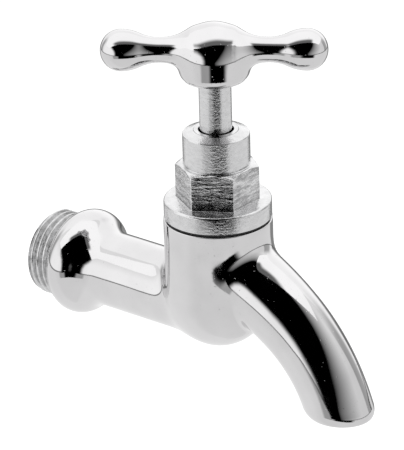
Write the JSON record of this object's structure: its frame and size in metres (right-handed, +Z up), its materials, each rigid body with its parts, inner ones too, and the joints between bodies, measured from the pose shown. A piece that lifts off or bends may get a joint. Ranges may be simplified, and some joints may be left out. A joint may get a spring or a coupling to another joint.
{
  "type": "wall-mounted water tap",
  "caption": "Screw-down bib tap: threaded inlet stub, upright barrel with hexagonal bonnet, T-bar handle on a rising spindle, and a down-turned tubular spout.",
  "frame": {"origin": "on the inlet's axis, in the plane of the shoulder where the inlet thread meets the bulb's face; the thread lies behind it, at negative X", "axes": "+X out from the wall towards the spout's side, +Z up along the spindle, +Y to the left of someone who looks along +X"},
  "size_m": [0.0967, 0.0356, 0.09],
  "materials": {
    "polished_plate": "polished",
    "satin_plate": "satin",
    "bare_brass": "satin",
    "sealing_rubber": "matte",
    "graphite_packing": "matte",
    "spring_steel": "satin"
  },
  "bodies": {
    "casting": {"tap_body": "polished_plate", "valve_seat": "bare_brass", "bonnet_gasket": "sealing_rubber", "bonnet": "satin_plate", "packing_washer": "bare_brass", "packing_ring_lower": "graphite_packing", "packing_ring_middle": "graphite_packing", "packing_ring_upper": "graphite_packing", "gland_follower": "bare_brass", "gland_nut": "satin_plate"},
    "jumper_valve": {"jumper": "bare_brass", "jumper_clip": "spring_steel", "seat_washer": "sealing_rubber", "backing_washer": "bare_brass", "washer_nut": "bare_brass"},
    "spindle_and_handle": {"spindle": "satin_plate", "handle": "polished_plate", "grub_screw": "spring_steel"}
  },
  "joints": [
    {"name": "spindle_lift", "type": "slide", "parent": "casting", "child": "jumper_valve", "axis": [0, 0, 1], "range_m": [0, 0.006]},
    {"name": "handle_turn", "type": "hinge", "parent": "jumper_valve", "child": "spindle_and_handle", "pos_m": [0.0447, 0, 0.0644], "axis": [0, 0, 1], "range_deg": [0, 900]}
  ],
  "couplings": [
    {"joint": "spindle_lift", "follows": "handle_turn", "m_per_rad": 0.00038197}
  ]
}
